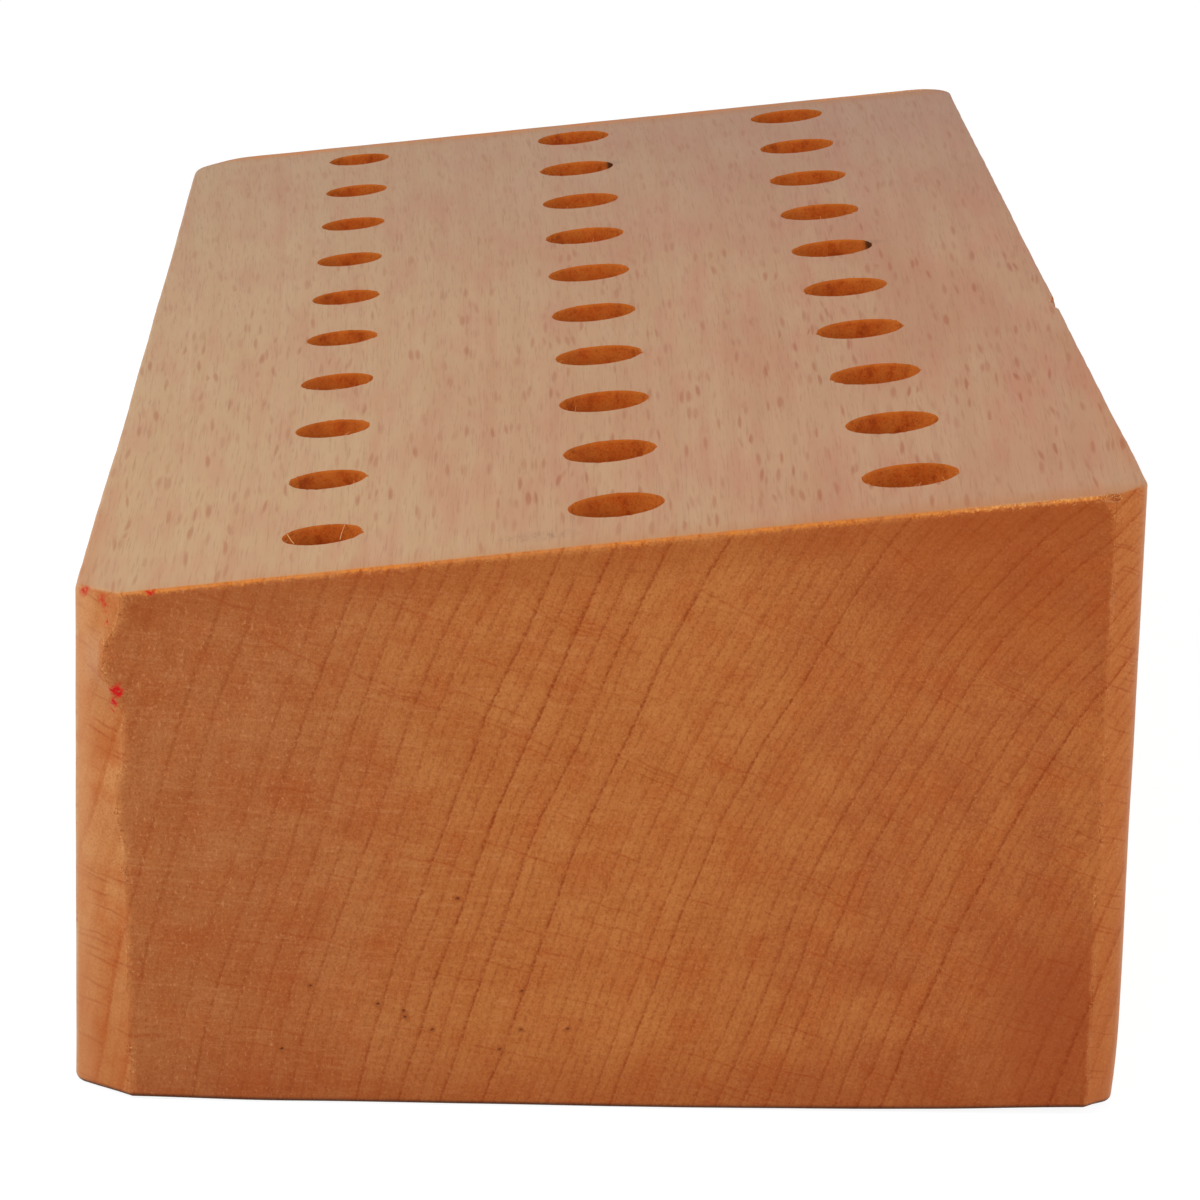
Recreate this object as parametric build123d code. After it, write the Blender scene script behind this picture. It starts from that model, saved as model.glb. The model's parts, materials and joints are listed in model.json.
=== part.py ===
from build123d import *
import math
import os

# Screwdriver holder: one block of beech with a sloping top, drilled with three rows of
# ten blind holes. X runs along the block, the low front faces -Y, Z is up from the table,
# and the origin is in the middle of the base. Sizes are in millimetres.

# The block
length = 150.0
width = 65.0
front_height = 32.0
back_height = 40.0

# The four upright corners, cut off at 45 degrees and then sanded by hand
front_corner_cut = 3.3
back_corner_cut = 2.1
corner_softening = 1.5
left_end_softening = 2.0

# The edges around the top and around the base
top_edge_radius = 0.4
base_edge_radius = 0.9

# The holes, drilled square to the sloping top; insets along Y follow the slope
holes_in_row = 10
right_hole_inset = 10.4
left_hole_inset = 6.4
front_row_inset = 14.7
back_row_inset = 13.9
front_hole_diameter = 5.0
middle_hole_diameter = 6.0
back_hole_diameter = 6.0
hole_depth = 25.0
drill_point_angle = 118.0

# What follows from the sizes above
slope_rise = back_height - front_height
slope_width = math.hypot(width, slope_rise)
middle_height = (front_height + back_height) / 2
hole_pitch = (length - right_hole_inset - left_hole_inset) / (holes_in_row - 1)
row_pitch = (slope_width - front_row_inset - back_row_inset) / 2
rows = [
    (0, front_hole_diameter),
    (1, middle_hole_diameter),
    (2, back_hole_diameter),
]


def top_plane():
    """The sloping top: x along the block, y up the slope, origin over the middle of the base."""
    across = Vector(0, width, slope_rise)
    along = Vector(1, 0, 0)
    return Plane(origin=(0, 0, middle_height), x_dir=along, z_dir=along.cross(across))


def footprint():
    """The block seen from above, with its four corners cut off and their edges softened."""
    sheet = Rectangle(length, width)
    for side, cut in ((-1, front_corner_cut), (1, back_corner_cut)):
        corners = [v for v in sheet.vertices() if v.Y * side > width / 2 - 0.001]
        sheet = chamfer(corners, cut)
    on_long_sides = [v for v in sheet.vertices() if abs(v.Y) > width / 2 - 0.001]
    sheet = fillet(on_long_sides, corner_softening)
    on_left_end = [v for v in sheet.vertices() if v.X < 0.001 - length / 2]
    return fillet(on_left_end, left_end_softening)


def blank():
    """The block before drilling: the footprint stood up, sawn to the slope and its edges eased."""
    upright = extrude(footprint(), back_height)
    block = split(upright, bisect_by=top_plane(), keep=Keep.BOTTOM)
    block = fillet(block.faces().sort_by(Axis.Z)[-1].edges(), top_edge_radius)
    return fillet(block.faces().sort_by(Axis.Z)[0].edges(), base_edge_radius)


def drill(diameter):
    """What one drill takes out: a straight wall down to its depth, then the cone of its point."""
    radius = diameter / 2
    point = radius / math.tan(math.radians(drill_point_angle / 2))
    half_outline = Polyline(
        (0, back_height),
        (radius, back_height),
        (radius, -hole_depth),
        (0, -hole_depth - point),
        close=True,
    )
    return revolve(Plane.XZ * make_face(half_outline), Axis.Z)


def holder_block():
    """The whole holder: the blank with its three rows of holes."""
    block = blank()
    first_x = length / 2 - right_hole_inset
    first_y = front_row_inset - slope_width / 2
    for row, diameter in rows:
        cutter = drill(diameter)
        for hole in range(holes_in_row):
            place = Location((first_x - hole * hole_pitch, first_y + row * row_pitch, 0))
            block = block - top_plane().location * place * cutter
    return block


os.makedirs("parts", exist_ok=True)
export_step(holder_block(), "parts/holder_block.step")
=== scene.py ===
import bpy
import json
import math
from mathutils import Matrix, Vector


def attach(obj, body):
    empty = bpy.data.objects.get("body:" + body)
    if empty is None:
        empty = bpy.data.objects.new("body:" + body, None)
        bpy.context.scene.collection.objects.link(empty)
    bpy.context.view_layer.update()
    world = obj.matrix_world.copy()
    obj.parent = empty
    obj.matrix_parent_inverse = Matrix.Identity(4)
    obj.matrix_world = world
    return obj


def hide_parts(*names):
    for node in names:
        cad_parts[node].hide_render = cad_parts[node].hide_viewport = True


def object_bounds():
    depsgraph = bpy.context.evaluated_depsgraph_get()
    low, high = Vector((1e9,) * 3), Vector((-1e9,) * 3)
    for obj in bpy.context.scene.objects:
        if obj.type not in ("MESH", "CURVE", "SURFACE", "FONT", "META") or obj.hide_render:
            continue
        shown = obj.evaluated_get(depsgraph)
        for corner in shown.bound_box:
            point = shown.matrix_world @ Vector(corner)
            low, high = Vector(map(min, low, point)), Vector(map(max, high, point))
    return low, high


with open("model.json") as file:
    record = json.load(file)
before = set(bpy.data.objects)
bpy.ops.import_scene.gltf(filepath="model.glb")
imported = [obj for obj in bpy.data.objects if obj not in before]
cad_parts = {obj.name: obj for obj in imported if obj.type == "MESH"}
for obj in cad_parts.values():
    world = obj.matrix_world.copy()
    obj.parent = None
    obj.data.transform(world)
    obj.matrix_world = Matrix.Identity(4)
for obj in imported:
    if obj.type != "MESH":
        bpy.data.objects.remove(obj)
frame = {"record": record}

cad_low, cad_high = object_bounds()
mm = 0.001


# The block. One piece of beech, sawn to a sloping top, its four upright corners cut off with a
# few strokes and its edges sanded by hand. Thirty blind holes are drilled square to the slope,
# and the drill leaves their mouths a little ragged. All sizes here are in millimetres.

class Wire:
    """One output in a node tree. Python's sums on it add the maths nodes that work them out."""

    def __init__(self, tree, socket=None):
        self.tree = tree
        self.socket = socket

    def add(self, kind, settings=None, values=None, output=None):
        """A new node of this kind: its settings first, then its sockets' values or links."""
        node = self.tree.nodes.new(kind)
        for name, setting in (settings or {}).items():
            setattr(node, name, setting)
        for name, value in (values or {}).items():
            if isinstance(name, int):
                socket = node.inputs[name]
            else:
                socket = next(s for s in node.inputs if s.enabled and s.name == name)
            if isinstance(value, list):
                for one in reversed(value):
                    self.tree.links.new(one.socket, socket)
            elif isinstance(value, Wire):
                self.tree.links.new(value.socket, socket)
            elif socket.type == "VECTOR" and not isinstance(value, tuple):
                socket.default_value = (value,) * 3
            else:
                socket.default_value = value
        outputs = [s for s in node.outputs if s.enabled and output in (None, s.name)]
        return Wire(self.tree, outputs[0] if outputs else None)

    def __getitem__(self, output):
        return Wire(self.tree, self.socket.node.outputs[output])

    def maths(self, operation, *others, reflected=False):
        """A Math node, or a Vector Math node if a value is a vector or a colour."""
        values = (*others, self) if reflected else (self, *others)
        vectors = [v for v in values if isinstance(v, tuple)]
        vectors += [v for v in values if isinstance(v, Wire) and v.socket.type in ("VECTOR", "RGBA")]
        kind = "ShaderNodeVectorMath" if vectors else "ShaderNodeMath"
        return self.add(kind, {"operation": operation}, dict(enumerate(values)))

    def __add__(self, other):
        return self.maths("ADD", other)

    def __sub__(self, other):
        return self.maths("SUBTRACT", other)

    def __rsub__(self, other):
        return self.maths("SUBTRACT", other, reflected=True)

    def __mul__(self, other):
        return self.maths("MULTIPLY", other)

    def __truediv__(self, other):
        return self.maths("DIVIDE", other)

    def __pow__(self, other):
        return self.maths("POWER", other)

    def __gt__(self, other):
        return self.maths("GREATER_THAN", other)

    def __lt__(self, other):
        return self.maths("LESS_THAN", other)

    def __abs__(self):
        return self.maths("ABSOLUTE")

    def __neg__(self):
        return self.maths("MULTIPLY", -1)

    __radd__ = __add__
    __rmul__ = __mul__

    def rise(self, low, high):
        """0 up to low and 1 from high, with a soft step between them."""
        return self.add("ShaderNodeMapRange", {"interpolation_type": "SMOOTHSTEP"}, {
            "Value": self, "From Min": low, "From Max": high})

    def fall(self, low, high):
        """1 up to low and 0 from high, with a soft step between them."""
        return 1 - self.rise(low, high)

    def noise(self, detail=2.0, roughness=0.5, output="Fac"):
        """Noise at this vector, with lumps about one unit across."""
        values = {"Vector": self, "Scale": 1.0, "Detail": detail, "Roughness": roughness}
        return self.add("ShaderNodeTexNoise", None, values, output)

    def axes(self):
        """The x, y and z of this vector."""
        split = self.add("ShaderNodeSeparateXYZ", None, {0: self})
        return split["X"], split["Y"], split["Z"]

    def vector(self, x, y, z):
        """A vector of three wires or numbers."""
        return self.add("ShaderNodeCombineXYZ", None, {"X": x, "Y": y, "Z": z})

    def mix(self, low, high):
        """The colour low where this is 0, and high where it is 1."""
        return self.add("ShaderNodeMix", {"data_type": "RGBA"}, {
            "Factor": self, "A": low, "B": high})


def geometry_tree(name, sizes):
    """A Geometry Nodes tree with a named input for each size, and those inputs as wires."""
    tree = bpy.data.node_groups.new(name, "GeometryNodeTree")
    tree.interface.new_socket("Geometry", in_out="OUTPUT", socket_type="NodeSocketGeometry")
    for size, value in sizes.items():
        kind = "NodeSocketFloat" if isinstance(value, float) else "NodeSocketMaterial"
        tree.interface.new_socket(size, in_out="INPUT", socket_type=kind)
    given = Wire(tree).add("NodeGroupInput")
    return given, [given[size] for size in sizes]


def made_by(geometry, name, sizes):
    """What a tree makes with these sizes, as an object with a plain mesh."""
    geometry.add("NodeGroupOutput", None, {"Geometry": geometry})
    piece = bpy.data.objects.new(name, bpy.data.meshes.new(name))
    bpy.context.scene.collection.objects.link(piece)
    modifier = piece.modifiers.new(name, "NODES")
    modifier.node_group = geometry.tree
    for socket in geometry.tree.interface.items_tree:
        if socket.in_out == "INPUT":
            modifier[socket.identifier] = sizes[socket.name]
    mesh = bpy.data.meshes.new_from_object(piece.evaluated_get(bpy.context.evaluated_depsgraph_get()))
    piece.modifiers.remove(modifier)
    piece.data = mesh
    mesh.name = name
    return piece


def stored(geometry, name, value, kind="FLOAT"):
    """The geometry with a value kept on its points under a name."""
    settings = {"data_type": kind, "domain": "POINT"}
    values = {"Geometry": geometry, "Name": name, "Value": value}
    return geometry.add("GeometryNodeStoreNamedAttribute", settings, values)


def recalled(wire, name, kind="FLOAT"):
    """The value kept on the points under a name."""
    return wire.add("GeometryNodeInputNamedAttribute", {"data_type": kind}, {"Name": name}, "Attribute")


bores = {}
for mount in frame["record"]["mounts"]:
    if mount["kind"] == "bore":
        bores[mount["name"]] = mount
hole_axis = Vector(bores["front_hole_1"]["axis"])
hole_tilt = math.atan2(-hole_axis.y, hole_axis.z)
hole_depth = bores["front_hole_1"]["dims"]["length_mm"]


def mouth(name):
    """The middle of a hole's mouth, from the middle of the top and along the slope."""
    centre = Vector(bores[name]["pos_m"]) / mm + hole_axis * hole_depth / 2
    return Vector((centre.x, centre.y / math.cos(hole_tilt), 0))


block_length = (cad_high.x - cad_low.x) / mm
block_width = (cad_high.y - cad_low.y) / mm
middle_height = 36.08
slope_rise = 8.2
front_corner_cut = 3.3
back_corner_cut = 2.1

block_sizes = {
    "Length": block_length,
    "Width": block_width,
    "Middle height": middle_height,
    "Slope": slope_rise / block_width,
    "Front corner cut": front_corner_cut,
    "Back corner cut": back_corner_cut,
    "Front right softening": 1.5,
    "Back right softening": 2.4,
    "Left end softening": 4.0,
    "Left cut edge softening": 3.0,
    "Right cut edge softening": 0.2,
    "Top easing": 0.35,
    "Base easing": 0.8,
    "Foot tuck": 0.22,
    "Foot wear": 0.3,
    "Far reach": 0.9,
    "Corner lean": 0.33,
    "Out of square": 0.25,
    "Right end lean": 0.8,
    "Hand wander": 0.2,
    "Step along outline": 1.2,
    "Hole depth": hole_depth,
    "Ragged mouth": 0.2,
    "Finish": bpy.data.materials.new("beech"),
}
given, wires = geometry_tree("drilled block", block_sizes)
(length, width, mid_height, slope, front_cut, back_cut, front_right_softening, back_right_softening,
 left_softening, left_cut_softening, right_cut_softening, top_easing, base_easing, foot_tuck, foot_wear,
 far_reach, corner_lean, out_of_square, end_lean, wander, step_along, depth, ragged, finish) = wires
place = given.add("GeometryNodeInputPosition")
x, y, z = place.axes()

# The outline from above: a rectangle, its corners cut off and the edges of the cuts softened.
# Each point keeps the way that it moves when the outline is drawn in by one unit, and how far
# across the cut it is: 0 at the end's edge, 1 at the long side's, and less than 0 on the end.
outline = given.add("GeometryNodeCurvePrimitiveQuadrilateral", None, {"Width": length, "Height": width})
outline = given.add("GeometryNodeFilletCurve", {"mode": "POLY"}, {
    "Curve": outline, "Count": 1, "Radius": back_cut + (front_cut - back_cut) * (y < 0)})
half_length = length / 2
half_width = width / 2
mitre = math.tan(math.radians(22.5))
on_long_side = abs(y) > half_width - 0.01
inward = given.vector(
    x.maths("SIGN") * (on_long_side * (1 - mitre) - 1),
    y.maths("SIGN") * (on_long_side * (mitre - 1) - mitre),
    0.0)
outline = stored(outline, "inward", inward, "FLOAT_VECTOR")
outline = stored(outline, "end side", 1 - on_long_side)
at_right = x > 0
right_softening = front_right_softening + (back_right_softening - front_right_softening) * (y > 0)
side_softening = left_softening + (right_softening - left_softening) * at_right
end_softening = left_cut_softening + (right_cut_softening - left_cut_softening) * at_right
softening = end_softening + (side_softening - end_softening) * on_long_side
steps_round_corner = 6
outline = given.add("GeometryNodeFilletCurve", {"mode": "POLY"}, {
    "Curve": outline, "Count": steps_round_corner, "Radius": softening, "Limit Radius": True})
across_outline = given.add("GeometryNodeInputTangent").maths("CROSS_PRODUCT", (0.0, 0.0, 1.0))
towards_middle = across_outline.maths("DOT_PRODUCT", place)["Value"].maths("SIGN") * -1
well_rounded = (recalled(given, "end side") < 0.5) + (x < 0) > 0.5
straight_in = recalled(given, "inward", "FLOAT_VECTOR")
inward = straight_in + (across_outline * towards_middle - straight_in) * well_rounded
outline = stored(outline, "inward", inward, "FLOAT_VECTOR")
next_point = given.add("GeometryNodeOffsetPointInCurve", None, {"Offset": 1}, "Point Index")
next_place = given.add("GeometryNodeFieldAtIndex", {"data_type": "FLOAT_VECTOR"}, {
    "Value": place, "Index": next_point})
to_next = place.maths("DISTANCE", next_place)["Value"]
outline = given.add("GeometryNodeSubdivideCurve", None, {
    "Curve": outline, "Cuts": (to_next / step_along).maths("FLOOR")})
this_cut = back_cut + (front_cut - back_cut) * (y < 0)
outline = stored(outline, "across cut", (abs(y) - half_width) / this_cut + 1)

# The outline stood up in rings, numbered from 1: the base's easing, the wall, the top's easing
base_rings = 8
wall_rings = 34
top_rings = 5
all_rings = base_rings + wall_rings + top_rings
post = given.add("GeometryNodeCurvePrimitiveLine", None, {"Start": (0, 0, 0), "End": (0, 0, 1)})
post = given.add("GeometryNodeResampleCurve", None, {"Curve": post, "Count": all_rings})
post = stored(post, "ring", given.add("GeometryNodeSplineParameter", None, None, "Index") + 1)
shell = given.add("GeometryNodeCurveToMesh", None, {
    "Curve": post, "Profile Curve": outline, "Fill Caps": True})

ring = recalled(given, "ring")
up_wall = ((ring - (base_rings + 1)) / (wall_rings - 1)).maths("MAXIMUM", 0.0).maths("MINIMUM", 1.0)
base_turn = ((base_rings + 1 - ring) / base_rings).maths("MAXIMUM", 0.0) * (math.pi / 2)
top_turn = ((ring - (all_rings - top_rings)) / top_rings).maths("MAXIMUM", 0.0) * (math.pi / 2)

# Sanded by hand: the easings are uneven, the foot is worn at the near corners, and the edges of
# the corner cuts wander, most of all the front right one's, where the plane slipped twice
around = given.vector(x * 0.07, y * 0.07, 0.0)
base_round = base_easing * (0.4 + around.noise() * 0.4)
top_round = top_easing * (0.55 + (around * 5).noise() * 0.9)
up_mm = up_wall * mid_height
hand = given.vector(x * 0.04, y * 0.06, up_mm * 0.08).noise(1.0) - 0.5
stroke = given.vector(x.maths("SIGN") * 7, y.maths("SIGN") * 13, up_mm * 0.3).noise(4.0, 0.68) - 0.5
lean = corner_lean * (up_wall * 2 - 1) * (y < 0) * (x > 0)
drawn_in = (
    base_round * (1 - base_turn.maths("COSINE"))
    + top_round * (1 - top_turn.maths("COSINE"))
    + hand * wander)
way_in = recalled(given, "inward", "FLOAT_VECTOR") * drawn_in
in_x, in_y, _ = way_in.axes()
slipped = (
    up_mm.rise(27.5, 31.0) * up_mm.fall(32.0, 35.0)
    + up_mm.rise(16.0, 20.0) * up_mm.fall(20.5, 25.0) * 0.35)
cut_slide = lean + stroke * wander * (5 + 6 * (y < 0)) + slipped * 1.1 * (y < 0) * (x > 0)
edge_slide = y.maths("SIGN") * recalled(given, "end side") * cut_slide
end_slide = end_lean * up_wall * (x > 0) * y.fall(5, 38) + far_reach * x.fall(-half_length, -40)
new_x = x + in_x - end_slide
to_back = y.rise(-30, 30)
front_lean = up_wall * (1 - to_back) * x.rise(20, 70) * 0.8
long_side_slide = out_of_square * (0.35 + to_back * 1.05 - x / half_length * 1.1 - front_lean)
near_foot = (1 - up_mm / 5).maths("MAXIMUM", 0.0) ** 2
tuck = foot_tuck * near_foot * y.rise(30, half_width) * x.rise(60, 72)
new_y = y + in_y + edge_slide + long_side_slide - tuck
worn_back = (y.rise(5, 32) + y.rise(20, 32) * 0.7) * x.rise(45, 72)
worn_back = worn_back * (0.3 + 0.7 * x.rise(72, half_length))
worn_front = y.fall(-30, -20) * x.rise(half_length - 3.5, half_length) * 0.4
foot_lift = foot_wear * (worn_back + worn_front) * (1 - up_wall)
new_z = (
    foot_lift
    + base_round * (1 - base_turn.maths("SINE"))
    + up_wall * (mid_height + slope * new_y - top_round - base_round)
    + top_round * top_turn.maths("SINE"))
shell = stored(shell, "above foot", new_z - foot_lift)
shell = given.add("GeometryNodeSetPosition", None, {
    "Geometry": shell, "Position": given.vector(new_x, new_y, new_z)})

# The drills: each cuts a straight wall and a cone, and tears the fibres a little at the mouth
point_angle = math.radians(118.0)
clear_above = 1.0
drill_sides = 72
drill_rings = 14
crowded_to_mouth = 1.8
row_drills = []
for row in ("front", "middle", "back"):
    holes = [name for name in bores if name.startswith(row)]
    first = mouth(row + "_hole_1")
    step = mouth(row + "_hole_2") - first
    radius = bores[row + "_hole_1"]["dims"]["r_mm"]
    drill = given.add("GeometryNodeMeshCylinder", {"fill_type": "TRIANGLE_FAN"}, {
        "Vertices": drill_sides, "Side Segments": drill_rings, "Radius": radius, "Depth": 1.0})
    drill = stored(drill, "outward", given.vector(x / radius, y / radius, 0.0), "FLOAT_VECTOR")
    down = 0.5 - z
    at_tip = (x * x + y * y < 0.1) * (down > 0.9)
    tip = at_tip * (radius / math.tan(point_angle / 2))
    drill_z = clear_above - (depth + clear_above) * down ** crowded_to_mouth - tip
    drill = given.add("GeometryNodeSetPosition", None, {
        "Geometry": drill, "Position": given.vector(x, y, drill_z)})
    centres = given.add("GeometryNodeMeshLine", None, {
        "Count": len(holes), "Start Location": tuple(first), "Offset": tuple(step)})
    row_drills.append(given.add("GeometryNodeInstanceOnPoints", None, {
        "Points": centres, "Instance": drill}))
drills = given.add("GeometryNodeJoinGeometry", None, {"Geometry": row_drills})
drills = given.add("GeometryNodeRealizeInstances", None, {"Geometry": drills})
near_mouth = z.rise(-1.2, 0.0)
torn = (place * 0.9).noise(3.0, 0.6) - 0.5
nicks = (place * 1.7 + 40).noise(1.0).rise(0.6, 0.75) * z.rise(-0.4, 0.0)
flare = z.rise(-0.25, 0.15) * 0.35
tear = ragged * (near_mouth * torn + nicks + flare + torn * 0.1)
drills = given.add("GeometryNodeSetPosition", None, {
    "Geometry": drills, "Offset": recalled(given, "outward", "FLOAT_VECTOR") * tear})
drills = given.add("GeometryNodeTransform", None, {
    "Geometry": drills,
    "Translation": given.vector(0.0, 0.0, mid_height),
    "Rotation": (hole_tilt, 0.0, 0.0)})

# Small damage: chips out of the top's edges at the back, and pin holes in the right end, which
# leans in. Each is a middle, and its size along x, y and z.
back_edge = middle_height + slope_rise / 2
right_end = block_length / 2
damage = [
    ((17.5, 33.0, back_edge), (1.9, 0.75, 0.6)),
    ((18.9, 32.85, back_edge - 0.1), (0.9, 0.5, 0.7)),
    ((38.5, 32.95, back_edge), (0.8, 0.4, 0.35)),
    ((right_end, 30.2, 39.8), (0.5, 0.9, 0.4)),
]
pin_holes = [
    (-19.7, 3.5), (-18.0, 7.6), (-13.8, 6.5), (-12.2, 6.1), (-12.1, 5.7), (-10.4, 4.9),
    (-9.0, 13.4), (-6.2, 3.7), (-4.9, 7.5), (-4.9, 5.0), (-2.0, 5.1),
]
pin_hole_size = (0.14, 0.15, 0.11)
for pin_y, pin_z in pin_holes:
    end_there = right_end - block_sizes["Right end lean"] * pin_z / middle_height
    damage.append(((end_there, pin_y, pin_z), pin_hole_size))
bits = []
for middle, size in damage:
    bit = given.add("GeometryNodeMeshIcoSphere", None, {"Radius": 1.0, "Subdivisions": 3})
    bit = given.add("GeometryNodeSetPosition", None, {
        "Geometry": bit,
        "Offset": place * ((place * 1.5 + middle).noise(2.0) - 0.5)})
    bits.append(given.add("GeometryNodeTransform", None, {
        "Geometry": bit, "Translation": middle, "Scale": size}))

block = given.add("GeometryNodeMeshBoolean", {"operation": "DIFFERENCE", "solver": "EXACT"}, {
    "Mesh 1": shell, "Mesh 2": [drills, *bits]}, "Mesh")
block = given.add("GeometryNodeSetShadeSmooth", {"domain": "FACE"}, {
    "Geometry": block, "Shade Smooth": True})
sharp_fold = math.radians(28.0)
folded = given.add("GeometryNodeInputMeshEdgeAngle")["Unsigned Angle"] > sharp_fold
flat_top = ring > (all_rings - 0.01)
flat_base = (ring < 1.01) * (ring > 0.99)
block = given.add("GeometryNodeSetShadeSmooth", {"domain": "EDGE"}, {
    "Geometry": block, "Selection": folded + flat_top + flat_base, "Shade Smooth": False})

# Loose fibres of the wood, torn up at the mouths of the holes and along the right end's edges
hair_radius = 0.027
hair = given.add("GeometryNodeCurvePrimitiveLine", None, {"Start": (0, 0, 0), "End": (1, 0, 0)})
hair = given.add("GeometryNodeResampleCurve", None, {"Curve": hair, "Count": 5})
hair = given.add("GeometryNodeSetPosition", None, {
    "Geometry": hair, "Offset": given.vector(0.0, x * x * 0.12, x * x * 0.15)})
hair = given.add("GeometryNodeSetCurveRadius", None, {"Curve": hair, "Radius": 1 - x * 0.75})
hair_section = given.add("GeometryNodeCurvePrimitiveCircle", {"mode": "RADIUS"}, {
    "Resolution": 5, "Radius": hair_radius})
hair = given.add("GeometryNodeCurveToMesh", None, {
    "Curve": hair, "Profile Curve": hair_section, "Fill Caps": True})
hair = stored(hair, "loose fibre", 1.0)


def chance(low, high, seed):
    """A number for each point or edge, spread evenly from low to high."""
    values = {"Min": low, "Max": high, "Seed": seed}
    return given.add("FunctionNodeRandomValue", {"data_type": "FLOAT"}, values, "Value")


below_top = mid_height + slope * y - z
at_mouth = folded * (below_top < 0.3) * (abs(y) < half_width - 5)
on_right_end = x > half_length - 1.5
at_cut = (abs(recalled(given, "across cut")) < 0.12) * (z > 1.5) * on_right_end
at_arris = (below_top < 0.4) * (x > half_length - 0.9)
torn_share = (
    at_mouth * (0.02 + 0.05 * x.rise(50, 62))
    + at_cut * 0.12
    + at_arris * (0.02 + 0.35 * y.rise(24, 30)))
roots = given.add("GeometryNodeMeshToPoints", {"mode": "EDGES"}, {
    "Mesh": block, "Selection": chance(0.0, 1.0, 3) < torn_share})
turned_back = (chance(0.0, 1.0, 8) > 0.5) * math.pi
turn = given.vector(chance(-3.0, 3.0, 5), chance(-0.5, 0.0, 6), chance(-0.6, 0.6, 7) + turned_back)
longest = 0.55 - 0.3 * (below_top > 1)
hairs = given.add("GeometryNodeInstanceOnPoints", None, {
    "Points": roots, "Instance": hair, "Rotation": turn, "Scale": longest * chance(0.3, 1.0, 9)})
hairs = [given.add("GeometryNodeRealizeInstances", None, {"Geometry": hairs})]

# Two long fibres across the nearest hole of the front row: each one's start, turn and length
for start, turn, size in (
        ((66.4, -16.75, 33.98), (1.6, 0.03, 3.12), 4.1),
        ((66.1, -19.6, 33.55), (0.6, -0.1, 3.5), 1.3)):
    hairs.append(given.add("GeometryNodeTransform", None, {
        "Geometry": hair, "Translation": start, "Rotation": turn, "Scale": (size, 1.0, 1.0)}))
block = given.add("GeometryNodeJoinGeometry", None, {"Geometry": [block, *hairs]})

block = given.add("GeometryNodeTransform", None, {"Geometry": block, "Scale": (mm, mm, mm)})
block = given.add("GeometryNodeRealizeInstances", None, {"Geometry": block})
block = given.add("GeometryNodeSetMaterial", None, {"Geometry": block, "Material": finish})

holder = made_by(block, "beech_block", block_sizes)


# What the beech looks like. The same rings, rays and pores run through the whole block, so the
# end shows rings and rays, and the long faces show streaks and flecks. The end drinks more of
# the oil and is darker and redder.

def paint(red, green, blue):
    """A colour given as it shows on a screen, 0 to 255."""
    shown = [part / 255 for part in (red, green, blue)]
    linear = [s / 12.92 if s < 0.0404 else ((s + 0.055) / 1.055) ** 2.4 for s in shown]
    return (*linear, 1.0)


beech = block_sizes["Finish"]
beech.use_nodes = True
beech.node_tree.nodes.clear()
wood = Wire(beech.node_tree)
place = wood.add("ShaderNodeTexCoord", None, None, "Object") / mm
facing = wood.add("ShaderNodeTexCoord", None, None, "Normal")
x, y, z = place.axes()
end_grain = abs(facing.axes()[0]).rise(0.45, 0.98)
below_top = middle_height + y * (slope_rise / block_width) - z

# The grain doesn't run quite along the block: it fans out by 2 or 3 degrees towards the front
# left, so the grain of each place is found a little to the side of it
from_right = x - block_length / 2
across_grain = y + from_right * (0.028 + y * 0.00105 + from_right * 0.000155)
solid = place
place = wood.vector(x, across_grain, z)

# Growth rings: straight dotted lines that lean to the back, 2 mm apart at the front and 1.2 mm
# apart at the back. Each has its own strength and its own gaps, with a fainter line between.
warp = ((place * (0.01, 0.08, 0.08)).noise(2.0, 0.4, "Color") - 0.5) * 1.5
_, warp_y, warp_z = warp.axes()
across = across_grain + warp_y + block_width / 2
up = z + warp_z - middle_height / 2
radial = across - up * (0.235 + across * 0.0045 + up * (0.001 + (across / 56) ** 4 * 0.0045))
along_ring = up + across * (0.15 + across * 0.0045) + up * across * 0.0078 - up * up * 0.006
ragged_edge = (place * (0.3, 4.0, 4.0)).noise(2.0, 0.6) - 0.5
rings = radial * (0.48 + radial * (0.0065 - radial * 0.00006)) + x * 0.006 + ragged_edge * 0.2
ring_number = rings.maths("FLOOR")
in_ring = rings.maths("FRACT")
ring_strength = wood.add("ShaderNodeTexWhiteNoise", {"noise_dimensions": "1D"}, {
    "W": ring_number}, "Value")
gaps = wood.vector(along_ring * 0.5, ring_number * 7.3, x * 0.05).noise(3.0, 0.6)
specks = (place * (0.3, 4.5, 4.5) + 31).noise(1.0).rise(0.36, 0.62)
fainter_left = 0.55 + across.rise(4.0, 28.0) * 0.45
ring_line = in_ring.rise(0.78, 0.91) * in_ring.fall(0.92, 1.0)
ring_line = ring_line * gaps.rise(0.22, 0.48) * (0.25 + ring_strength * 0.75)
between = in_ring.rise(0.32, 0.42) * in_ring.fall(0.43, 0.54)
between = between * gaps.rise(0.42, 0.6) * (0.6 - ring_strength * 0.4)
finer = (rings * 3 + 0.4).maths("FRACT")
finer = finer.rise(0.5, 0.75) * finer.fall(0.8, 1.0) * gaps.fall(0.4, 0.6) * 0.3
ring_line = (ring_line + between + finer) * (0.35 + specks * 0.65) * fainter_left
late_wood = in_ring.rise(0.25, 0.95) * (0.2 + ring_strength * 0.8)

# Rays: thin ribbons square to the rings, which show as lines on the ends and the corner cuts,
# and as short spindles along the grain on the other faces
def nearest_cell(cells):
    """How far this place is from the middle of the nearest of many scattered cells."""
    return wood.add("ShaderNodeTexVoronoi", None, {"Vector": cells, "Scale": 1.0}, "Distance")


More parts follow.
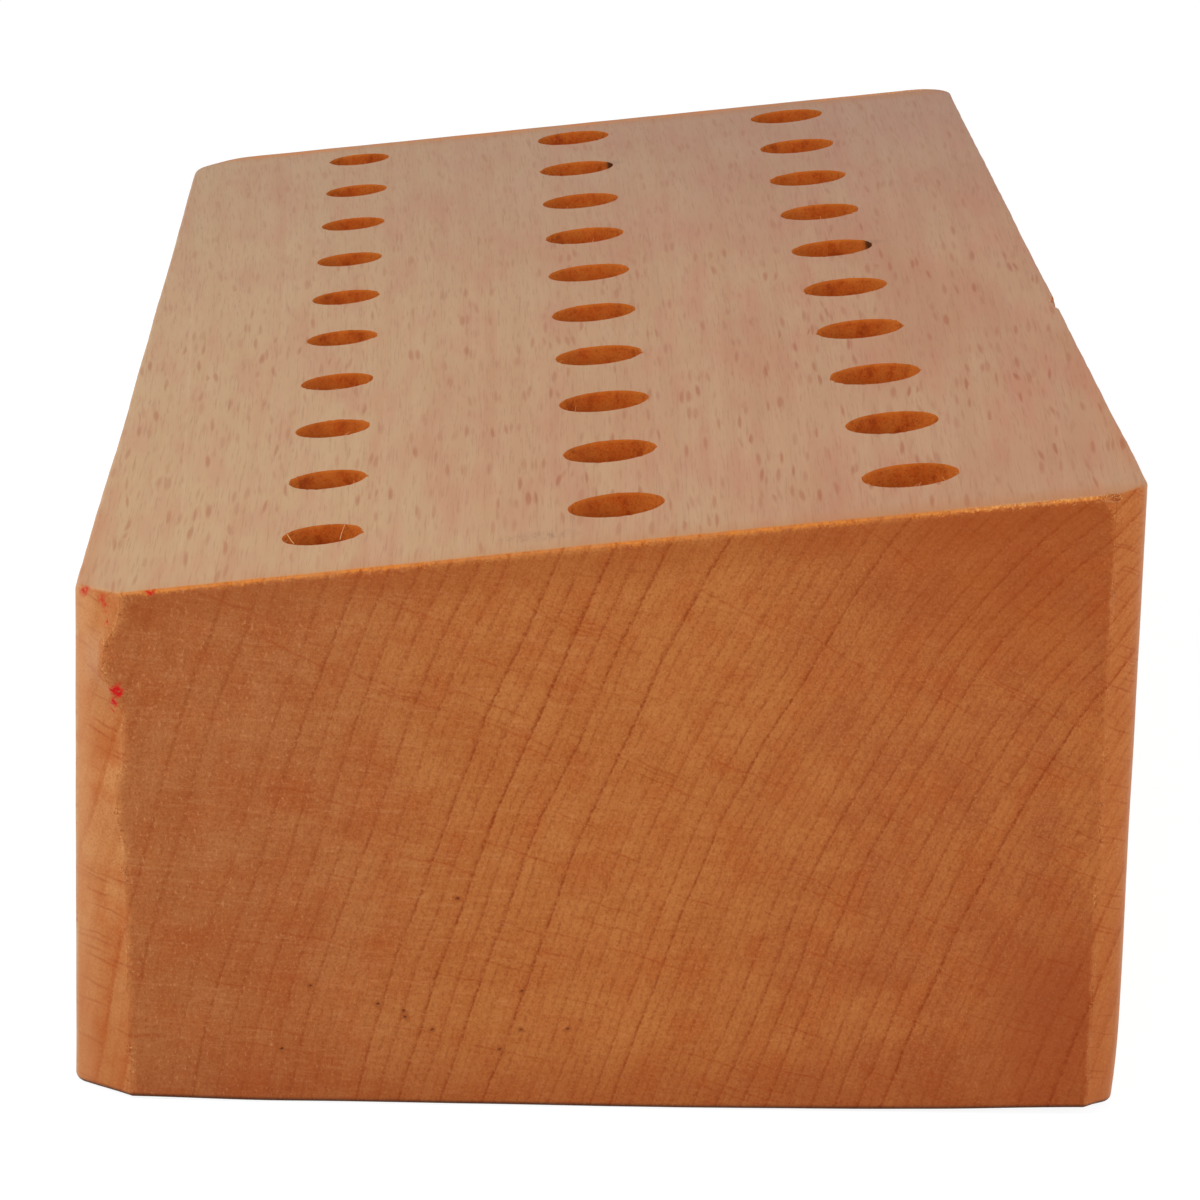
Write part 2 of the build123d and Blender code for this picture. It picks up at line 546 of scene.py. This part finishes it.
bend = (place * (0.1, 0.3, 0.3) + 5).noise(3.0) - 0.5
from_ray = nearest_cell(wood.vector((along_ring + bend * 1.2) / 0.34, x / 3.8, radial / 11.0))
ray_depth, _, _ = from_ray["Color"].axes()
ray = from_ray.fall(0.12, 0.44) * (ray_depth > 0.76)
drift = (place * (0.08, 0.5, 0.5) + 70).noise(1.0) - 0.5
from_fleck = nearest_cell(wood.vector(x / 5.2, (across_grain + drift) / 0.42, (z + drift) / 0.42))
fleck_size, fleck_depth, _ = from_fleck["Color"].axes()
fleck = from_fleck.fall(0.16, 0.5) * (fleck_size > 0.62) * (0.25 + fleck_depth * 0.75)

# Pores and fibres: fine dots on the end, drawn out into fine streaks along the block
pores = (place * (0.22, 7.0, 7.0)).noise(2.0, 0.75)
streaks = (place * (0.02, 1.3, 1.3)).noise(4.0, 0.65)
mottle = (place * (0.06, 0.32, 0.32)).noise(3.0, 0.55)
blush = (place * (0.06, 0.4, 0.4) + 90).noise(3.0, 0.6)
sanding = wood.vector(x, y * 0.4, (z + y * 0.06) * 5).noise(3.0, 0.65)
blotch = (place * (0.03, 0.13, 0.13) + 120).noise(3.0, 0.55)
pinch = (place * (0.4, 4.5, 3.0) + 200).noise(2.0, 0.6)
to_back = across.rise(0.0, 66.0)
to_end = block_length / 2 - abs(x)

end_light = to_back.mix(paint(168, 103, 58), paint(174, 103, 52))
end_colour = mottle.rise(0.3, 0.7).mix(paint(159, 87, 44), end_light)
middle = across.rise(10.0, 28.0) * across.fall(36.0, 52.0)
end_colour = (middle * 0.35).mix(end_colour, paint(190, 122, 58))
end_colour = (blush.rise(0.42, 0.7) * 0.4).mix(end_colour, paint(164, 78, 32))
end_colour = (late_wood * fainter_left * 0.25).mix(end_colour, paint(150, 68, 22))
end_colour = (ring_line * 0.8).mix(end_colour, paint(122, 42, 2))
end_colour = (ray * 0.29).mix(end_colour, paint(144, 44, 0))
sanded_pale = sanding.rise(0.5, 0.75) * (0.3 + across.fall(20.0, 50.0) * 0.7)
end_colour = (sanded_pale * 0.22).mix(end_colour, paint(202, 140, 92))
end_colour = (sanding.fall(0.25, 0.46) * 0.25).mix(end_colour, paint(140, 62, 20))
end_colour = (pores.rise(0.48, 0.68) * 0.38).mix(end_colour, paint(128, 52, 14))
end_colour = (pores.fall(0.26, 0.44) * 0.34).mix(end_colour, paint(206, 138, 84))
end_colour = (z.fall(0.5, 6.0) * 0.3).mix(end_colour, paint(134, 54, 20))
left = across.fall(6.0, 30.0)
end_colour = (left * 0.12).mix(end_colour, paint(136, 84, 46))
end_colour = (pinch.rise(0.6, 0.72) * (0.12 + left * 0.16)).mix(end_colour, paint(120, 38, 10))
end_colour = (pinch.fall(0.28, 0.4) * (0.05 + left * 0.22)).mix(end_colour, paint(214, 152, 104))
under_edge = below_top.rise(0.2, 0.6) * below_top.fall(0.8, 3.5)
end_colour = (under_edge * 0.35).mix(end_colour, paint(140, 66, 22))
from_top_stain = wood.vector(0.0, y - 25.0, (z - 36.0) * 1.3).maths("LENGTH")["Value"]
top_stain = from_top_stain.fall(2.0, 15.0) * (0.2 + mottle * 0.4)
end_colour = top_stain.mix(end_colour, paint(146, 60, 14))
from_low_stain = wood.vector(0.0, y - 28.5, (z - 6.5) * 0.8).maths("LENGTH")["Value"]
low_stain = from_low_stain.fall(0.5, 7.5) * (0.25 + mottle * 0.55)
end_colour = low_stain.mix(end_colour, paint(138, 54, 22))

# The corner cuts, across the grain at 45 degrees: lighter than the end, and redder at the back
across_cut = wood.add("ShaderNodeAttribute", {"attribute_name": "across cut"}, None, "Fac")
cut_colour = to_back.mix(paint(184, 119, 68), paint(184, 107, 55))
cut_light = to_back.mix(paint(196, 134, 82), paint(186, 112, 56))
cut_colour = (mottle.rise(0.36, 0.66) * 0.5).mix(cut_colour, cut_light)
cut_colour = (blush.rise(0.42, 0.66) * (0.6 - to_back * 0.4)).mix(cut_colour, paint(174, 90, 38))
cut_colour = (late_wood * 0.5).mix(cut_colour, paint(170, 84, 32))
cut_colour = ring_line.mix(cut_colour, paint(152, 64, 14))
cut_ray = from_ray.fall(0.12, 0.44) * (ray_depth > 0.5)
cut_colour = (cut_ray * 0.4).mix(cut_colour, paint(146, 50, 4))
cut_colour = (pores.rise(0.48, 0.68) * 0.35).mix(cut_colour, paint(146, 72, 28))
cut_colour = (pores.fall(0.26, 0.44) * 0.3).mix(cut_colour, paint(212, 150, 92))
# Painted light: each corner cut is painted paler toward the long side, making up for the shade where it
# rounds over into the long side
cut_colour = (across_cut.rise(0.4, 1.0) * (0.45 - to_back * 0.3)).mix(cut_colour, paint(206, 152, 106))
cut_colour = (z.fall(0.5, 16.0) * 0.3).mix(cut_colour, paint(164, 84, 40))

# The long faces and the top: paler, with soft pink flecks and streaks, and warmer at the ends
# where the oil has crept in
# Painted shade: the long faces and the top are painted darker toward the back, where the light from the
# front left falls off
long_colour = to_back.mix(paint(197, 159, 117), paint(186, 138, 102))
long_colour = (blush.rise(0.4, 0.7) * (0.4 + to_back * 0.25)).mix(long_colour, paint(190, 122, 92))
long_colour = (streaks.rise(0.3, 0.7) * 0.3).mix(long_colour, paint(206, 162, 122))
long_colour = (blotch.rise(0.4, 0.62) * (0.05 + to_back * 0.2)).mix(long_colour, paint(172, 92, 52))
# Painted shade: toward the far end, most of all at the back, they are painted darker and duller, where
# the lamps' light falls off
long_colour = (x.fall(-75, 10) * (0.15 + to_back * 0.35)).mix(long_colour, paint(171, 131, 111))
long_colour = (late_wood * 0.15).mix(long_colour, paint(182, 116, 72))
fleck_share = 0.2 + to_back * 0.15 + x.rise(-50, 30) * 0.3
long_colour = (fleck * fleck_share).mix(long_colour, paint(156, 66, 0))
long_colour = (pores.rise(0.5, 0.72) * 0.3).mix(long_colour, paint(146, 84, 46))
long_colour = (to_end.fall(0.4, 4.0) * (0.15 + to_back * 0.3)).mix(long_colour, paint(184, 108, 40))
to_side = block_width / 2 - abs(y)
oiled_edge = to_side.fall(0.0, 1.6) * mottle.rise(0.35, 0.6) * x.rise(20, 70)
long_colour = (oiled_edge * 0.35).mix(long_colour, paint(190, 104, 50))

# Inside the holes the bare wood is deeper and redder, which the oil brings out
inside = below_top.rise(0.0005, 0.004) * abs(x).fall(block_length / 2 - 2.5, block_length / 2 - 2)
inside = inside * abs(y).fall(block_width / 2 - 2.5, block_width / 2 - 2) * z.rise(1.0, 1.5)
hole_colour = end_grain.mix(paint(206, 110, 43), paint(188, 86, 26))
torn_grain = (place * (0.6, 0.9, 0.7) + 50).noise(3.0, 0.7)
hole_colour = (torn_grain.rise(0.4, 0.66) * 0.7).mix(hole_colour, paint(198, 108, 40))
hole_colour = (torn_grain.fall(0.3, 0.48) * 0.6).mix(hole_colour, paint(140, 52, 10))
hole_colour = (pores.rise(0.45, 0.7) * 0.45).mix(hole_colour, paint(132, 50, 10))
# Painted highlight: the top 0.3 mm of each hole's wall is painted a light amber, where the lamps light
# the upper wall
hole_colour = (below_top.fall(0.0, 0.3) * (0.1 + pores * 0.5)).mix(hole_colour, paint(226, 132, 46))

# Each face has its own colour, and the end's creeps over the edges of its corner cuts
past_cut = abs(facing.axes()[0])
colour = past_cut.rise(0.3, 0.6).mix(long_colour, cut_colour)
colour = past_cut.rise(0.78, 0.95).mix(colour, end_colour)
soft_edge = (place * (0.5, 2.5, 2.5) + 150).noise(3.0, 0.7) - 0.5
near_cut = (across_cut + soft_edge * 0.3).rise(-0.16, 0.02) * past_cut.rise(0.9, 0.97)
colour = (near_cut * 0.7).mix(colour, cut_colour)
colour = inside.mix(colour, hole_colour)

# Where the top meets the ends the eased edge carries a painted highlight, a fuzzy amber line, and
# the edges of the corner cuts are partly rubbed pale and partly carry a painted highlight
fuzz = (place * (2.0, 5.0, 5.0) + 12).noise(2.0, 0.7) - 0.5
near_end = to_end - block_sizes["Right end lean"] * y.fall(5, 38)
# Painted highlight: a fuzzy amber line on the eased edge, where it catches the light
painted_edge_highlight = (below_top + fuzz * 0.9).fall(0.02, 0.36) * (near_end + fuzz * 0.6).fall(0.0, 0.36)
painted_edge_highlight = painted_edge_highlight * (0.3 + blush.rise(0.35, 0.6) * 0.45)
colour = (painted_edge_highlight * (1 - inside)).mix(colour, paint(212, 128, 50))
splinters = (below_top + fuzz * 0.9).fall(0.0, 0.3) * (near_end + fuzz * 0.5).fall(0.1, 0.5)
splinters = splinters * across.rise(48.0, 58.0) * pores.rise(0.45, 0.6) * (1 - inside)
colour = (splinters * 0.7).mix(colour, paint(228, 168, 100))
# Partly painted highlight: the edges of the corner cuts are painted pale where they catch the light,
# and partly rubbed pale
rubbed_and_highlit_edge = abs(across_cut + fuzz * 0.3).fall(0.0, 0.1) * pores.rise(0.44, 0.56) * past_cut.rise(0.4, 0.6)
colour = (rubbed_and_highlit_edge * blush.rise(0.48, 0.6) * (1 - inside) * 0.3).mix(colour, paint(222, 158, 104))
at_edge = abs(across_cut + soft_edge * 0.3).fall(0.02, 0.12) * past_cut.rise(0.4, 0.6) * (1 - inside)
at_edge = at_edge * (place * (0.5, 0.5, 0.9) + 170).noise(2.0, 0.6).rise(0.48, 0.58)
colour = (at_edge * pores.rise(0.54, 0.64) * 0.6).mix(colour, paint(112, 50, 16))
colour = (at_edge * pores.fall(0.34, 0.42) * 0.4).mix(colour, paint(228, 174, 116))
loose_fibre = wood.add("ShaderNodeAttribute", {"attribute_name": "loose fibre"}, None, "Fac")
colour = (loose_fibre * (0.3 + blush * 0.5)).mix(colour, paint(226, 170, 110))

# Red crayon, rubbed off on the corner: the middle and the size of each mark
crayon = [
    ((71.8, -32.6, 31.9), 0.6),
    ((72.3, -32.3, 31.9), 0.5),
    ((73.15, -31.4, 31.6), 0.5),
    ((73.4, -31.1, 31.1), 0.42),
    ((73.6, -30.9, 30.2), 0.26),
    ((74.3, -28.05, 32.45), 0.3),
    ((74.35, -30.1, 26.2), 0.45),
    ((74.1, -30.3, 25.4), 0.36),
    ((73.9, -30.5, 24.8), 0.26),
]
crayon_grain = (place * 3.5).noise(3.0, 0.7)
crayon_wobble = ((place * 2.2).noise(2.0, 0.5, "Color") - 0.5) * 0.6
for middle, size in crayon:
    away = (solid + crayon_wobble).maths("DISTANCE", middle)["Value"] / size
    mark = away.fall(0.5, 1.3) * crayon_grain.rise(0.34, 0.48)
    colour = mark.mix(colour, paint(186, 22, 22))

# The far rims of two holes have a dark spot, a painted contact shadow darkens the foot, and
# the pin holes are brown inside
# A dark spot at the far rim of each of these two holes, darker inside the hole
for name in ("middle_hole_9", "back_hole_6"):
    centre = mouth(name)
    dark_rim_y = centre.y * math.cos(hole_tilt) + 3.0
    dark_rim_z = middle_height + centre.y * math.sin(hole_tilt) + 0.2
    dark_rim_spot = (centre.x - 0.9, dark_rim_y, dark_rim_z)
    away = (solid + crayon_wobble).maths("DISTANCE", dark_rim_spot)["Value"]
    colour = (away.fall(0.4, 1.3) * (0.15 + inside * 0.75)).mix(colour, paint(46, 22, 12))
above_foot = wood.add("ShaderNodeAttribute", {"attribute_name": "above foot"}, None, "Fac")
# Painted shadow: a dark brown band along the bottom of the foot stands in for the contact shadow on the
# floor
painted_foot_shadow = above_foot.fall(0.14, 0.4) * z.fall(1.0, 1.5)
colour = (painted_foot_shadow * (0.7 + pores * 0.3)).mix(colour, paint(52, 20, 8))
ring_here = wood.add("ShaderNodeAttribute", {"attribute_name": "ring"}, None, "Fac")
in_pin_hole = ring_here.fall(1.0, 6.0) * x.rise(73.0, 73.5) * z.rise(1.5, 2.0)
in_pin_hole = in_pin_hole * z.fall(16.0, 18.0)
colour = (in_pin_hole * 0.7).mix(colour, paint(150, 78, 34))

# A long faint scratch near the front edge of the top, and a smudge of dust at its near end
on_top = below_top.fall(0.02, 0.1)
from_scratch = abs(y + 29.15 - x * 0.0377 + (streaks - 0.5) * 0.5)
scratch = from_scratch.fall(0.03, 0.2) * x.rise(-24.0, -14.0) * x.fall(62.0, 70.0)
colour = (scratch * on_top * 0.12).mix(colour, paint(226, 196, 160))
from_dust = wood.vector((x - 70.6) / 1.6, (y + 4.5) / 3.2, 0.0).maths("LENGTH")["Value"]
dust = from_dust.fall(0.2, 1.1)
fluff = (solid * (1.0, 2.6, 1.0)).noise(3.0, 0.7).rise(0.48, 0.64)
colour = (dust * on_top * (0.1 + fluff * 0.4)).mix(colour, paint(140, 98, 68))

grain_height = pores * 0.4 + streaks * 0.3 - ring_line * 0.4 + sanding * 0.25
bump = wood.add("ShaderNodeBump", None, {"Strength": 0.5, "Distance": 0.00006, "Height": grain_height})
roughness = 0.44 + mottle * 0.08 + end_grain * 0.14
surface = wood.add("ShaderNodeBsdfPrincipled", None, {
    "Base Color": colour, "Roughness": roughness, "Normal": bump, "IOR": 1.16})
wood.add("ShaderNodeOutputMaterial", None, {"Surface": surface})

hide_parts("holder_block")
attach(holder, "root")


# The studio: a pale floor, a white surround, and a wide lamp on each side of the camera

floor_half = 3.0
floor_drop = 0.05 * mm
surround_light = 0.4
floor_mesh = bpy.data.meshes.new("floor")
floor_mesh.from_pydata(
    [(-floor_half, -floor_half, -floor_drop), (floor_half, -floor_half, -floor_drop),
     (floor_half, floor_half, -floor_drop), (-floor_half, floor_half, -floor_drop)],
    [], [(0, 1, 2, 3)])
floor = bpy.data.objects.new("floor", floor_mesh)
bpy.context.scene.collection.objects.link(floor)


def seen_directly(wire):
    """1 for what the camera sees, straight, in a reflection or through glass."""
    path = wire.add("ShaderNodeLightPath")
    seen = path["Is Camera Ray"].maths("MAXIMUM", path["Is Glossy Ray"])
    return seen.maths("MAXIMUM", path["Is Transmission Ray"])


floor_paint = bpy.data.materials.new("floor_paint")
floor_paint.use_nodes = True
floor_paint.node_tree.nodes.clear()
sheet = Wire(floor_paint.node_tree)
matt = sheet.add("ShaderNodeBsdfDiffuse", None, {"Color": (0.85, 0.85, 0.85, 1.0)})
glow = sheet.add("ShaderNodeEmission", None, {"Color": (1.0, 1.0, 1.0, 1.0), "Strength": 1.15})
both = sheet.add("ShaderNodeMixShader", None, {0: seen_directly(sheet) * 0.8, 1: matt, 2: glow})
sheet.add("ShaderNodeOutputMaterial", None, {"Surface": both})
floor_mesh.materials.append(floor_paint)

world = bpy.data.worlds.new("surround")
world.use_nodes = True
world.node_tree.nodes.clear()
sky = Wire(world.node_tree)
sky_strength = surround_light + seen_directly(sky) * (1.0 - surround_light)
glow = sky.add("ShaderNodeBackground", None, {
    "Color": (1.0, 1.0, 1.0, 1.0), "Strength": sky_strength})
sky.add("ShaderNodeOutputWorld", None, {"Surface": glow})
bpy.context.scene.world = world


def lamp(name, where, size, watts):
    """A square area lamp that points at the middle of the block."""
    light = bpy.data.lights.new(name, "AREA")
    light.energy = watts
    light.size = size
    piece = bpy.data.objects.new(name, light)
    piece.location = where
    piece.rotation_euler = (Vector((0, 0, 0.02)) - Vector(where)).to_track_quat("-Z", "Y").to_euler()
    bpy.context.scene.collection.objects.link(piece)


lamp("left lamp", (0.28, -0.34, 0.32), 0.25, 1.6)
lamp("right lamp", (0.32, 0.36, 0.20), 0.25, 1.0)

camera_data = bpy.data.cameras.new("camera")
camera_data.lens = 163.84
camera_data.sensor_width = 36.0
camera = bpy.data.objects.new("camera", camera_data)
camera.location = (0.39568, -0.01112, 0.11663)
camera.rotation_euler = (math.radians(75.3335), math.radians(-1.6), math.radians(88.5705))
bpy.context.scene.collection.objects.link(camera)
bpy.context.scene.camera = camera
bpy.context.scene.view_settings.view_transform = "Standard"
